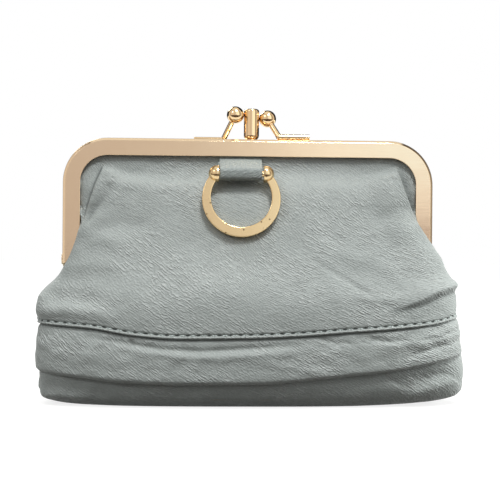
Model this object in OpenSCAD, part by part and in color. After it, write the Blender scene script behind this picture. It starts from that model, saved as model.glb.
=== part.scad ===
// Kiss lock frame purse with two compartments, a centre post and a hanging crescent ring.
// Millimetres. X runs along the frame, -Y is the front, +Z is up, the origin is the base's centre.

/* [Leather] */
// Widest width of the purse, across the side seams over the bands
body_w = 174; // [160:1:200]
// Greatest depth of the purse, front to back, over the bands
body_d = 52; // [46:1:70]
// Thickness of the leather
leather_t = 1.2; // [0.8:0.1:1.6]
// How far the base's ends lie inside the widest width
base_inset_x = 7; // [3:0.5:12]
// How far the base's long edges lie inside the greatest depth
base_inset_y = 5; // [2:0.5:8]
// Height over which the base's edge curves up into the wall
base_round_h = 10; // [6:0.5:16]
// How far the leather puffs out above the bands
puff = 1.8; // [0:0.1:3]
// Height at which the walls start to draw in towards the frame
belly_top_z = 34; // [30:1:40]
// How much lower the lower body's rim is at the middle of the front than at the sides
rim_dip = 4.5; // [3:0.5:6]
// Height of the moving panels' lower edge above the hinge axis
panel_lift = 3; // [2:0.5:5]
// How far the folds reach down behind the lower body's rim
fold_tuck = 1.5; // [0.5:0.5:3]
// Depth of a moving panel's belly at hinge level, from the middle plane
panel_belly = 18; // [16:0.5:21]

/* [Bands] */
// Height of the stitched top edge at the middle of a band
band_top_mid = 28; // [24:0.5:31]
// Height of the stitched top edge at the side seams
band_top_side = 35; // [32:0.5:38]
// Height of the free lower edge at the middle of a band
band_low_mid = 8; // [4:0.5:14]
// Height of the free lower edge at the side seams
band_low_side = 17; // [15:0.5:22]
// Thickness of the band's folded leather
band_t = 1.4; // [1:0.1:2]

/* [Frames] */
// Outer width of the front and back frames
frame_w = 150; // [140:1:154]
// Height of the rails' top above the base
frame_top_z = 107; // [102:1:115]
// Width of the visible face of the frame
face_w = 7; // [5:0.5:8]
// Outer radius of the frame's corners
corner_r = 18; // [14:0.5:24]
// Depth of the front and back channels, front to back
frame_d = 4; // [3.5:0.1:5]
// Depth of the middle channel, front to back
mid_d = 3.2; // [3:0.1:4]
// Width of the middle frame's walls, measured inwards
mid_face_w = 5; // [4:0.5:6]
// Thickness of the frames' sheet metal
sheet_t = 0.8; // [0.6:0.05:1]
// Width of the inner lip of a channel, measured inwards
lip_w = 5.5; // [4:0.5:6]
// Bevel along the outer edge of the face
bevel = 1; // [0.4:0.1:1.5]

/* [Hinges] */
// Height of the hinge rivets' axis
hinge_z = 58; // [57:0.5:61]
// How far the face's leg ends reach below the axis
leg_drop = 1.5; // [0.5:0.1:2]
// Radius of the ears round the rivets
ear_r = 3.2; // [2.8:0.1:3.4]
// Diameter of a rivet's shank
rivet_d = 2.4; // [1.6:0.1:3]
// Diameter of a rivet's head
rivet_head_d = 4.4; // [3.6:0.1:5]
// Thickness of a rivet's head
rivet_head_t = 0.6; // [0.4:0.1:0.8]
// How far each outer frame opens
open_angle = 45; // [30:1:45]

/* [Clasp] */
// Offset of the clasp from the frame's middle
clasp_x = 1; // [-4:0.5:4]
// Diameter of the centre post
post_d = 6.2; // [4:0.1:7]
// Height of the centre post above the rail
post_h = 12.8; // [8:0.1:18]
// Diameter of the neck that joins the post to the middle rail
post_neck_d = 2.8; // [2:0.1:3.2]
// Diameter of the clasp balls
ball_d = 7; // [5:0.1:9]
// Height of the front ball's centre above the rail
front_ball_h = 9; // [7:0.1:14]
// Height of the back ball's centre above the rail
back_ball_h = 10.2; // [7:0.1:14]
// How far each ball's centre lies beyond the middle plane when shut
ball_cross = 1.2; // [0:0.1:2]
// Diameter of the clasp arms' wire
wire_d = 2.3; // [1.8:0.1:2.8]
// Distance from a ball to its arm's bend, along the rail
arm_reach = 4.4; // [2:0.1:8]
// Length of an arm's foot along the rail
foot_l = 12.4; // [6:0.1:20]
// Diameter of the back arm's foot, which is drawn out thinner than its wire
back_foot_d = 1.5; // [1:0.1:2.8]
// How deep an arm's end sits in its ball
arm_seat = 1.8; // [1:0.1:2.5]

/* [Ring] */
// Offset of the ring from the frame's middle
ring_x = -3.5; // [-20:0.5:20]
// Outer diameter of the ring
ring_d = 31.3; // [24:0.1:34]
// Diameter of the ring's hole
ring_hole_d = 24.2; // [16:0.1:26]
// How much higher the hole's centre lies than the ring's centre
ring_hole_up = 0.5; // [0:0.1:1]
// Thickness of the ring
ring_t = 2.2; // [1.6:0.1:3]
// Drop from the pin's axis to the line of the ring's ends in the half balls
ring_end_drop = 0.4; // [0:0.1:1.5]
// Drop from the rail's lower edge to the pin's axis
pin_drop = 7.5; // [5:0.1:14]
// Width of the leather tab
tab_w = 17; // [10:0.5:20]
// Thickness of the tab's leather round the pin
tab_t = 1.3; // [1:0.1:2]
// Diameter of the pin through the tab
pin_d = 2.4; // [1.6:0.1:3]
// Radius of the half balls at the ring's ends
half_ball_r = 3.4; // [2.6:0.1:4]
// How far the half balls' centres lie beyond their flat faces
half_ball_out = 0.8; // [0:0.1:1.2]

/* [Inside] */
// Thickness of the leather base panel
base_t = 1.2; // [0.8:0.1:2]
// Thickness of the stiff base board
board_t = 1.5; // [1:0.1:2.5]
// Thickness of the lining cloth with its interlining
lining_t = 0.9; // [0.6:0.1:1.5]
// Thickness of the divider
divider_t = 1.4; // [0.8:0.1:1.4]
// Height of the lining pockets' rim
lining_top_z = 42; // [24:1:43]
// Width of the paper cords crimped in the channels, measured inwards
cord_w = 2.6; // [1.5:0.1:3]

/* [Fits] */
// Gap between neighbouring frames, ears and rivet heads
frame_gap = 0.2; // [0.1:0.05:0.3]
// Radial clearance of pins and rivets in their holes
pin_fit = 0.05; // [0.02:0.01:0.1]
// Gap between a soft piece and its neighbour on the same body
soft_gap = 0.25; // [0.15:0.05:0.3]
// Gap between the lower body and what lines it
lining_gap = 0.5; // [0.4:0.05:1]
// Gap between the tab's sides and the half balls
side_gap = 0.45; // [0.3:0.05:0.8]
// Gap between the moving panels and the lower body
slide_gap = 0.4; // [0.3:0.05:0.6]
// Sideways gap at which a ball passes the post
snap_gap = 0.05; // [0.03:0.01:0.1]

/* [Hidden] */
$fn = 64;

leather_colour = "#A3AFAB";
lining_colour = "#B9AE9A";
board_colour = "#8C7B62";
metal_colour = "#E3C8A2";

// Frame positions, front to back
mid_half = mid_d / 2;
outer_y0 = mid_half + frame_gap;
outer_y1 = outer_y0 + frame_d;
half_w = frame_w / 2;
mid_half_w = half_w - 2 * (sheet_t + frame_gap);
mid_corner_r = corner_r - 2 * (sheet_t + frame_gap);
leg_z = hinge_z - leg_drop;
ear_clear_r = ear_r + 2 * frame_gap;
head_gap = frame_gap / 4;

// Leather body: half width, half depth and roundness at each height
wall_half_w = body_w / 2 - band_t - soft_gap;
wall_half_d = body_d / 2 - band_t - soft_gap;
side_rim_z = hinge_z - ear_r - frame_gap;
rim_half_w = half_w + rivet_head_t + leather_t;
rim_half_d = sqrt(pow(panel_belly, 2) - pow(hinge_z - side_rim_z, 2)) + slide_gap + leather_t;
function draw_in(z) = z < belly_top_z ? 0 : pow((z - belly_top_z) / (side_rim_z - belly_top_z), 2);
function base_in(z) = z > base_round_h ? 0 : 1 - z / base_round_h;
function wall_w(z) = wall_half_w - base_inset_x * pow(base_in(z), 4) - (wall_half_w - rim_half_w) * draw_in(z);
function wall_d(z) = wall_half_d - base_inset_y * pow(base_in(z), 2) - (wall_half_d - rim_half_d) * draw_in(z);
base_power = 3.2;
rim_power = 2.5;
function wall_power(z) = base_power + (rim_power - base_power) * min(1, z / side_rim_z);

// A point on the superellipse with half axes w and d, at angle a from the side seam
function oval(w, d, n, a) = [w * sign(cos(a)) * pow(abs(cos(a)), 2 / n), d * pow(max(0, sin(a)), 2 / n)];
function oval_y(w, d, n, x) = abs(x) >= w ? 0 : d * pow(1 - pow(abs(x) / w, n), 1 / n);

// Rim of the lower body, and the heights of the bands' edges across the width
function rim_z(a) = side_rim_z - rim_dip * pow(sin(a), 2);
function band_top(a) = band_top_mid + (band_top_side - band_top_mid) * pow(abs(cos(a)), 3);
function band_low(a) = band_low_mid + (band_low_side - band_low_mid) * pow(abs(cos(a)), 2);

// The wall puffs out above the band, most below the middle, and comes back to its own line at the rim
puff_skew = 0.7;
function puff_at(z, a) = z < band_top(a) ? 0 : puff * sin(180 * pow((z - band_top(a)) / (side_rim_z - band_top(a)), puff_skew));
function wall_point(z, a, out) = let(o = out + puff_at(z, a), p = oval(wall_w(z) + o, wall_d(z) + o, wall_power(z), a))
    [p.x, -p.y, z];

// Moving panel: round about the hinge axis where it slides into the lower body, and flat at the rail
panel_y_edge = outer_y1 - sheet_t - soft_gap;
arc_top_angle = open_angle - 15;
open_half_w = half_w - face_w - soft_gap;
open_top_z = frame_top_z - face_w - soft_gap;
open_corner_r = corner_r - face_w - soft_gap;
max_lean = 1.6;
leg_cover_y = outer_y1 + soft_gap + max_lean * leather_t;
rim_below = hinge_z - side_rim_z;
function panel_r(x) = sqrt(pow(oval_y(rim_half_w - leather_t, rim_half_d - leather_t, rim_power, x) - slide_gap, 2)
    + pow(rim_below, 2));
panel_low_z = hinge_z + panel_lift;
function corner_drop(x) = let(c = open_half_w - open_corner_r)
    abs(x) <= c ? 0 : open_corner_r - sqrt(max(0, pow(open_corner_r, 2) - pow(abs(x) - c, 2)));
function panel_top_z(x) = open_top_z - corner_drop(x);
function hermite(h, span, y0, m0, y1, m1) = (2 * pow(h, 3) - 3 * h * h + 1) * y0 + (pow(h, 3) - 2 * h * h + h) * span * m0
    + (3 * h * h - 2 * pow(h, 3)) * y1 + (pow(h, 3) - h * h) * span * m1;
edge_slope = -0.6;
function panel_y(x, z) = let(r = panel_r(x), zc = hinge_z + r * sin(arc_top_angle))
    z <= zc ? sqrt(r * r - pow(z - hinge_z, 2))
    : hermite((z - zc) / (panel_top_z(x) - zc), panel_top_z(x) - zc, r * cos(arc_top_angle),
        -tan(arc_top_angle), panel_y_edge, edge_slope);
slope_step = 0.1;
function panel_slope(x, z) = (panel_y(x, z) - panel_y(x, z - slope_step)) / slope_step;
function panel_in_y(x, z) = panel_y(x, z) - leather_t * min(max_lean, sqrt(1 + pow(panel_slope(x, z), 2)));

// Ring and tab
pin_z = frame_top_z - face_w - pin_drop;
hole_r = pin_d / 2 + pin_fit;
loop_r = hole_r + tab_t;
ball_clear_r = half_ball_r + soft_gap;
pin_y = max(panel_y(ring_x, pin_z) + soft_gap + loop_r,
    max([for (s = [-ball_clear_r : ball_clear_r / 8 : ball_clear_r])
        panel_y(ring_x, pin_z + s) + sqrt(max(0, pow(ball_clear_r, 2) - s * s))]));
flat_x = tab_w / 2 + side_gap;
ball_x = flat_x + half_ball_out;
ring_drop = ring_end_drop + sqrt(pow((ring_d + ring_hole_d) / 4, 2) - ball_x * ball_x);
ring_low = ring_drop + ring_d / 2;
ring_tilt = max([for (s = [half_ball_r : ring_low]) let(z = pin_z - s)
    atan((panel_y(ring_x, z) + soft_gap + leather_t / 2 - pin_y + ring_t / 2) / s)]);

// Height at which the pockets and the divider start, above the base board
floor_z = base_t + board_t + soft_gap;

// Columns and rows of the surfaces
wall_steps = 32;
low_levels = 6;
puff_levels = 6;
band_levels = 5;
half_columns = 14;
panel_levels = 12;
fold_levels = 4;
pocket_levels = 7;
// Levels lie closer together near the base, where the wall curves under
function level(z0, z1, i, n) = z0 + (z1 - z0) * pow(i / n, 1.6);

// A closed sheet between an outer and an inner grid of points, each a list of equal rows
module sheet(outer, inner) {
    rows = len(outer);
    cols = len(outer[0]);
    total = rows * cols;
    points = concat([for (row = outer) each row], [for (row = inner) each row]);
    quads = concat(
        [for (i = [0 : rows - 2], j = [0 : cols - 2])
            [i * cols + j, i * cols + j + 1, (i + 1) * cols + j + 1, (i + 1) * cols + j]],
        [for (i = [0 : rows - 2], j = [0 : cols - 2])
            [total + (i + 1) * cols + j, total + (i + 1) * cols + j + 1, total + i * cols + j + 1, total + i * cols + j]],
        [for (i = [0 : rows - 2])
            [i * cols, (i + 1) * cols, total + (i + 1) * cols, total + i * cols]],
        [for (i = [0 : rows - 2]) let(e = cols - 1)
            [total + i * cols + e, total + (i + 1) * cols + e, (i + 1) * cols + e, i * cols + e]],
        [for (j = [0 : cols - 2])
            [total + j, total + j + 1, j + 1, j]],
        [for (j = [0 : cols - 2]) let(e = (rows - 1) * cols)
            [e + j, e + j + 1, total + e + j + 1, total + e + j]]);
    faces = [for (q = quads) each [[q[0], q[1], q[2]], [q[0], q[2], q[3]]]];
    polyhedron(points, faces, convexity = 6);
}

// A closed solid through a list of level rings that all have the same number of points
module loft(rings) {
    n = len(rings[0]);
    last = len(rings) - 1;
    points = [for (ring = rings) each ring];
    sides = [for (i = [0 : last - 1], j = [0 : n - 1]) let(k = (j + 1) % n)
        each [[i * n + j, (i + 1) * n + k, (i + 1) * n + j], [i * n + j, i * n + k, (i + 1) * n + k]]];
    caps = [[for (j = [n - 1 : -1 : 0]) j], [for (j = [0 : n - 1]) last * n + j]];
    polyhedron(points, concat(sides, caps), convexity = 6);
}

// The back is the front turned round
module to_back() {
    mirror([0, 1, 0]) children();
}

wall_angles = [for (j = [0 : wall_steps]) 180 * j / wall_steps];

// Heights of the lower body's rows at angle a: below the band's stitched edge, then above it
function body_z(a, i) = i <= low_levels ? level(base_t, band_top(a), i, low_levels)
    : band_top(a) + (rim_z(a) - band_top(a)) * (i - low_levels) / puff_levels;
function body_grid(out) = [for (i = [0 : low_levels + puff_levels]) [for (a = wall_angles)
    wall_point(body_z(a, i), a, out)]];
function band_grid(out) = [for (i = [0 : band_levels]) [for (a = wall_angles)
    wall_point(band_low(a) + (band_top(a) - band_low(a)) * i / band_levels, a, out)]];

module body_half() {
    color(leather_colour) sheet(body_grid(0), body_grid(-leather_t));
}

module band_half() {
    color(leather_colour) sheet(band_grid(soft_gap + band_t), band_grid(soft_gap));
}

module panel_half() {
    columns = [for (j = [-half_columns : half_columns]) open_half_w * sin(90 * j / half_columns)];
    heights = [for (i = [0 : panel_levels]) [for (x = columns)
        panel_low_z + (panel_top_z(x) - panel_low_z) * i / panel_levels]];
    outer = [for (row = heights) [for (j = [0 : 2 * half_columns]) [columns[j], -panel_y(columns[j], row[j]), row[j]]]];
    inner = [for (row = heights) [for (j = [0 : 2 * half_columns]) [columns[j], -panel_in_y(columns[j], row[j]), row[j]]]];
    color(leather_colour) sheet(inner, outer);
}

// Leather that folds at hinge level when a frame opens: it joins the panel to the lower body, and covers
// the feet of the frame's legs
function fold_top_z(x) = min(panel_low_z - soft_gap,
    hinge_z + sqrt(max(0, pow(panel_r(x), 2) - pow(leg_cover_y, 2))));
function fold_low_z(x) = rim_z(acos(pow(abs(x) / rim_half_w, rim_power / 2))) - fold_tuck;
module fold_half() {
    flare_w = max([for (x = [open_half_w : soft_gap : half_w]) if (panel_r(x) > leg_cover_y) x]);
    columns = [for (j = [-half_columns : half_columns]) flare_w * sin(90 * j / half_columns)];
    heights = [for (i = [0 : fold_levels]) [for (x = columns)
        fold_low_z(x) + (fold_top_z(x) - fold_low_z(x)) * i / fold_levels]];
    outer = [for (row = heights) [for (j = [0 : 2 * half_columns])
        let(x = columns[j]) [x, -sqrt(pow(panel_r(x), 2) - pow(row[j] - hinge_z, 2)), row[j]]]];
    inner = [for (row = heights) [for (j = [0 : 2 * half_columns])
        let(x = columns[j]) [x, -sqrt(pow(panel_r(x) - leather_t, 2) - pow(row[j] - hinge_z, 2)), row[j]]]];
    color(leather_colour) sheet(inner, outer);
}

// Level ring of a lining pocket, drawn in by inset from the pocket's outer face
function pocket_ring(z, inset) = let(
    w = wall_w(z) - leather_t - lining_gap - inset,
    d = wall_d(z) - leather_t - lining_gap - inset,
    y0 = divider_t / 2 + soft_gap + inset,
    steps = 24)
    [for (j = [0 : steps]) let(p = oval(w, d, wall_power(z), 180 * j / steps)) [p.x, -max(p.y, y0), z]];

module lining_half() {
    outer = [for (i = [0 : pocket_levels]) pocket_ring(level(floor_z, lining_top_z, i, pocket_levels), 0)];
    inner = [for (i = [pocket_levels : -1 : 0])
        pocket_ring(level(floor_z + lining_t, lining_top_z, i, pocket_levels), lining_t)];
    color(lining_colour) loft(concat(outer, inner));
}

function base_outline(inset) = [for (j = [0 : 2 * wall_steps - 1]) let(a = 180 * j / wall_steps,
    p = oval(wall_w(base_t) - inset, wall_d(base_t) - inset, wall_power(base_t), a),
    q = oval(wall_w(base_t) - inset, wall_d(base_t) - inset, wall_power(base_t), 360 - a))
    a <= 180 ? p : [q.x, -q.y]];

module base_panel() {
    color(leather_colour) linear_extrude(base_t) polygon(base_outline(0));
}

module base_board() {
    color(board_colour) translate([0, 0, base_t]) linear_extrude(board_t)
        polygon(base_outline(leather_t + soft_gap));
}

// The divider follows the middle frame's groove, passes inside the ears and widens into the body
module divider() {
    groove_in = mid_face_w - sheet_t - cord_w - soft_gap;
    side_x = mid_half_w - mid_face_w + groove_in;
    top_z = frame_top_z - mid_face_w + groove_in;
    r = mid_corner_r - mid_face_w + groove_in;
    neck_x = min(side_x, mid_half_w - sheet_t - rivet_head_t - 2 * frame_gap - soft_gap);
    shoulder_z = side_rim_z - 3 * soft_gap;
    steps = 8;
    right = concat(
        [for (k = [0 : steps]) let(z = level(floor_z, shoulder_z, k, steps))
            [wall_w(z) - leather_t - lining_gap, z]],
        [[neck_x, shoulder_z], [neck_x, hinge_z + ear_clear_r + soft_gap]],
        [for (k = [0 : steps]) let(a = 90 * k / steps) [side_x - r + r * cos(a), top_z - r + r * sin(a)]]);
    left = [for (k = [len(right) - 1 : -1 : 0]) [-right[k][0], right[k][1]]];
    color(lining_colour) translate([0, divider_t / 2, 0]) rotate([90, 0, 0])
        linear_extrude(divider_t) polygon(concat(right, left));
}

// Sweeps a section, drawn as [distance inwards, y], along the top rail, two corners and two legs
module sweep_frame(hw, top, r, low) {
    translate([-(hw - r), 0, top]) rotate([0, 90, 0]) linear_extrude(2 * (hw - r)) children();
    for (side = [0, 1]) mirror([side, 0, 0]) {
        translate([hw, 0, low]) mirror([1, 0, 0]) linear_extrude(top - r - low) children();
        translate([hw - r, 0, top - r]) rotate([-90, 0, 0]) rotate([0, 0, -90]) rotate_extrude(angle = 90)
            translate([r, 0]) mirror([1, 0]) children();
    }
}

// A cylinder along X between two places
module x_cylinder(x0, x1, r) {
    translate([x0, 0, 0]) rotate([0, 90, 0]) cylinder(h = x1 - x0, r = r);
}

module at_hinges() {
    for (side = [0, 1]) mirror([side, 0, 0]) translate([0, 0, hinge_z]) children();
}

// Section of the front channel: face with bevel, outer wall and inner lip
module outer_section() {
    polygon([[bevel, -outer_y1], [face_w, -outer_y1], [face_w, sheet_t - outer_y1], [sheet_t, sheet_t - outer_y1],
        [sheet_t, -outer_y0 - sheet_t], [lip_w, -outer_y0 - sheet_t], [lip_w, -outer_y0], [0, -outer_y0],
        [0, bevel - outer_y1]]);
}

// One outer frame without its ears, clear of the ears inside plane inner_x
module outer_channel(inner_x) {
    difference() {
        sweep_frame(half_w, frame_top_z, corner_r, leg_z) outer_section();
        at_hinges() x_cylinder(half_w - face_w - 1, inner_x, ear_clear_r);
    }
}

// An ear from plane x0 to x1, tied to the leg on the front side
module ear(x0, x1) {
    difference() {
        union() {
            x_cylinder(x0, x1, ear_r);
            translate([x0, -outer_y1 + bevel, -leg_drop]) cube([x1 - x0, outer_y1 - bevel, leg_drop + ear_r]);
        }
        x_cylinder(x0 - 1, x1 + 1, rivet_d / 2 + pin_fit);
    }
}

module front_frame() {
    color(metal_colour) {
        outer_channel(half_w - sheet_t);
        at_hinges() ear(half_w - sheet_t, half_w);
    }
}

// The back frame's ears pass inside the front frame's
module back_frame() {
    ear_x1 = half_w - sheet_t - frame_gap;
    color(metal_colour) to_back() {
        outer_channel(half_w + 1);
        at_hinges() difference() {
            union() {
                ear(ear_x1 - sheet_t, ear_x1);
                translate([ear_x1 - sheet_t, -outer_y1 + bevel, 0])
                    cube([sheet_t, frame_d - bevel, 2 * ear_clear_r]);
            }
            x_cylinder(ear_x1 - 2 * sheet_t, ear_x1 + sheet_t, rivet_d / 2 + pin_fit);
        }
    }
}

module middle_frame() {
    ear_x0 = mid_half_w - sheet_t;
    color(metal_colour) difference() {
        union() {
            difference() {
                sweep_frame(mid_half_w, frame_top_z, mid_corner_r, hinge_z) polygon([[0, -mid_half],
                    [mid_face_w, -mid_half], [mid_face_w, sheet_t - mid_half], [sheet_t, sheet_t - mid_half],
                    [sheet_t, mid_half - sheet_t], [mid_face_w, mid_half - sheet_t], [mid_face_w, mid_half],
                    [0, mid_half]]);
                at_hinges() x_cylinder(ear_x0 - mid_face_w, ear_x0, ear_clear_r);
            }
            at_hinges() x_cylinder(ear_x0, mid_half_w, ear_r);
        }
        at_hinges() x_cylinder(ear_x0 - 1, mid_half_w + 1, rivet_d / 2);
    }
}

module rivet() {
    head_x0 = half_w + head_gap;
    inner_x1 = mid_half_w - sheet_t;
    color(metal_colour) translate([0, 0, hinge_z]) {
        x_cylinder(inner_x1 - rivet_head_t / 2, head_x0 + rivet_head_t / 2, rivet_d / 2);
        x_cylinder(head_x0, head_x0 + rivet_head_t, rivet_head_d / 2);
        x_cylinder(inner_x1 - rivet_head_t, inner_x1, rivet_head_d / 2);
    }
}

module left_rivet() {
    mirror([1, 0, 0]) rivet();
}

module right_rivet() {
    rivet();
}

// Filler cord that lies against the outer wall of a channel
module paper_cord(hw, r, y0, y1) {
    low = hinge_z + 2 * ear_clear_r + soft_gap;
    color(board_colour) sweep_frame(hw - sheet_t, frame_top_z - sheet_t, r - sheet_t, low)
        translate([soft_gap / 2, y0]) square([cord_w, y1 - y0]);
}

module middle_paper_cord() {
    y = mid_half - sheet_t - soft_gap / 2;
    paper_cord(mid_half_w, mid_corner_r, -y, y);
}

module front_paper_cord() {
    paper_cord(half_w, corner_r, sheet_t + soft_gap / 2 - outer_y1, -outer_y0 - sheet_t - soft_gap / 2);
}

module back_paper_cord() {
    to_back() front_paper_cord();
}

module front_body() {
    body_half();
}

module back_body() {
    to_back() body_half();
}

module front_band() {
    band_half();
}

module back_band() {
    to_back() band_half();
}

module front_fold() {
    fold_half();
}

module back_fold() {
    to_back() fold_half();
}

module front_lining() {
    lining_half();
}

module back_lining() {
    to_back() lining_half();
}

module front_panel() {
    panel_half();
}

module back_panel() {
    to_back() panel_half();
}

// Post with a rounded foot above the rails and a softly domed top
module centre_post() {
    r = post_d / 2;
    neck = post_neck_d / 2;
    lift = frame_gap;
    foot = r - neck;
    dome = r / 3;
    steps = 6;
    profile = concat([[0, 0], [neck, 0]],
        [for (k = [0 : steps]) let(a = 90 * k / steps) [neck + foot * sin(a), lift + foot * (1 - cos(a))]],
        [for (k = [0 : steps]) let(a = 90 * k / steps) [r - dome * (1 - cos(a)), post_h - dome * (1 - sin(a))]],
        [[0, post_h]]);
    color(metal_colour) translate([clasp_x, 0, frame_top_z]) rotate_extrude() polygon(profile);
}

// Places of a clasp's ball and bend, for the side on which it stands
ball_off = post_d / 2 + ball_d / 2 + snap_gap;
foot_y = (outer_y0 + outer_y1) / 2;
function ball_at(h) = [ball_off, ball_cross, h];
bend_swell = 0.03;
bend_at = [ball_off + arm_reach, -foot_y, wire_d / 2 + bend_swell];

// Turns +Z to point from the bend to the ball, starting at the ball
module along_arm(h) {
    d = ball_at(h) - bend_at;
    translate(ball_at(h)) rotate([0, acos(d.z / norm(d)), atan2(d.y, d.x)]) children();
}

module clasp_arm(h, foot_d) {
    d = ball_at(h) - bend_at;
    r = wire_d / 2;
    end = ball_d / 2 - arm_seat;
    along_arm(h) translate([0, 0, -norm(d)]) cylinder(h = norm(d) - end, r = r);
    translate(bend_at) sphere(r = r + bend_swell);
    translate([bend_at.x, bend_at.y, foot_d / 2 + bend_swell]) x_cylinder(0, foot_l, foot_d / 2);
}

module clasp_ball(h) {
    difference() {
        translate(ball_at(h)) sphere(d = ball_d);
        along_arm(h) translate([0, 0, -ball_d]) cylinder(h = ball_d - ball_d / 2 + arm_seat + pin_fit,
            r = wire_d / 2 + pin_fit);
    }
}

module on_rail() {
    translate([clasp_x, 0, frame_top_z]) children();
}

module front_clasp_arm() {
    color(metal_colour) on_rail() clasp_arm(front_ball_h, wire_d);
}

module front_clasp_ball() {
    color(metal_colour) on_rail() clasp_ball(front_ball_h);
}

module back_clasp_arm() {
    color(metal_colour) on_rail() rotate([0, 0, 180]) clasp_arm(back_ball_h, back_foot_d);
}

module back_clasp_ball() {
    color(metal_colour) on_rail() rotate([0, 0, 180]) clasp_ball(back_ball_h);
}

// The tab comes from under the rail's face, goes round the pin and back up behind itself
module ring_tab() {
    top_z = frame_top_z - face_w - soft_gap - pin_z;
    front_y = pin_y - outer_y1;
    mid_r = (hole_r + loop_r) / 2;
    back_ply_end = [-loop_r * 0.8, loop_r * 0.9];
    color(leather_colour) translate([ring_x - tab_w / 2, -pin_y, pin_z]) rotate([90, 0, 90]) difference() {
        union() {
            cylinder(h = tab_w, r = loop_r);
            linear_extrude(tab_w) polygon([[-mid_r, 0], back_ply_end, [front_y, top_z],
                [front_y + sheet_t, top_z], [mid_r, 0]]);
        }
        translate([0, 0, -1]) cylinder(h = tab_w + 2, r = hole_r);
    }
}

// Puts the origin on the pin's axis, with the ring's plane hanging along -Z
module at_pin() {
    translate([ring_x, -pin_y, pin_z]) rotate([-ring_tilt, 0, 0]) children();
}

module ring() {
    color(metal_colour) at_pin() difference() {
        rotate([90, 0, 0]) translate([0, 0, -ring_t / 2]) linear_extrude(ring_t) difference() {
            translate([0, -ring_drop]) circle(d = ring_d);
            translate([0, ring_hole_up - ring_drop]) circle(d = ring_hole_d);
            translate([-ring_d, -half_ball_r / 2]) square([2 * ring_d, ring_d]);
        }
        for (side = [-1, 1]) translate([side * ball_x, 0, 0])
            sphere(r = half_ball_r + pin_fit / 2);
    }
}

// Half ball with its flat face on the XY plane, drilled for the pin
module half_ball() {
    difference() {
        translate([0, 0, half_ball_out]) sphere(r = half_ball_r);
        translate([-half_ball_r, -half_ball_r, -half_ball_r]) cube([2 * half_ball_r, 2 * half_ball_r, half_ball_r]);
        translate([0, 0, -half_ball_r]) cylinder(h = half_ball_r + half_ball_out + pin_fit, r = pin_d / 2 + pin_fit / 2);
    }
}

module ring_ball_left() {
    color(metal_colour) at_pin() translate([-flat_x, 0, 0]) rotate([0, -90, 0]) half_ball();
}

module ring_ball_right() {
    color(metal_colour) at_pin() translate([flat_x, 0, 0]) rotate([0, 90, 0]) half_ball();
}

module ring_pin() {
    color(metal_colour) at_pin() x_cylinder(-ball_x, ball_x, pin_d / 2);
}

base_panel();
base_board();
front_body();
back_body();
front_band();
back_band();
front_fold();
back_fold();
front_lining();
back_lining();
divider();
middle_frame();
middle_paper_cord();
centre_post();
left_rivet();
right_rivet();
front_frame();
front_paper_cord();
front_panel();
front_clasp_arm();
front_clasp_ball();
ring_tab();
back_frame();
back_paper_cord();
back_panel();
back_clasp_arm();
back_clasp_ball();
ring();
ring_ball_left();
ring_ball_right();
ring_pin();
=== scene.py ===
import bmesh
import bpy
import numpy as np
from mathutils import Matrix, Vector


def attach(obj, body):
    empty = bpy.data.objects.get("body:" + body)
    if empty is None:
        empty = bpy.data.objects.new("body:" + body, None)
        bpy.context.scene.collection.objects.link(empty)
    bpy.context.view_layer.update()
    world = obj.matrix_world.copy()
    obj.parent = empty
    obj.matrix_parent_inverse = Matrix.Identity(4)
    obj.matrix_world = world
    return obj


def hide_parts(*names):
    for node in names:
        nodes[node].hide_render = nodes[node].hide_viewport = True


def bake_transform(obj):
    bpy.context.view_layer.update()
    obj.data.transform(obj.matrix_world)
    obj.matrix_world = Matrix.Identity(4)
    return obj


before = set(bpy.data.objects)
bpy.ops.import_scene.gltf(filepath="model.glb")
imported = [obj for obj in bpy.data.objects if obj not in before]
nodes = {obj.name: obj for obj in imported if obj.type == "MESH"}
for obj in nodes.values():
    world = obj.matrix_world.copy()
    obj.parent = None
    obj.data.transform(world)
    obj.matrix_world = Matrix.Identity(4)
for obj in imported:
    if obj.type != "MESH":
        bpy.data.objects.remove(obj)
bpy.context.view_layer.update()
scene = bpy.context.scene
mm = 0.001

# Camera
# The purse stands on a table and is seen from the front, level with the upper half of its leather
# and a little to the left of its middle.
photo_px = 0.404 * mm
picture_px = 500
sensor_mm = 36
frame_plane_y = -5.8 * mm
view_from = np.array([-24, -486, 64]) * mm
picture_middle = np.array([0.5, -5.8, 62.2]) * mm
camera_roll = np.radians(0.45)


def turned_to(at, target, roll=0.0):
    """Matrix that puts a lamp or camera at a point and looks at another one, turned by roll about its line of sight."""
    turn = Vector(target - at).to_track_quat("-Z", "Y").to_matrix().to_4x4()
    return Matrix.Translation(at) @ turn @ Matrix.Rotation(roll, 4, "Z")


camera = bpy.data.objects.new("camera", bpy.data.cameras.new("camera"))
scene.collection.objects.link(camera)
camera.data.sensor_width = sensor_mm
camera.data.lens = sensor_mm * (frame_plane_y - view_from[1]) / (picture_px * photo_px)
camera.matrix_world = turned_to(view_from, picture_middle, camera_roll)
camera.data.clip_start, camera.data.clip_end = 0.01, 20
scene.camera = camera

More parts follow.
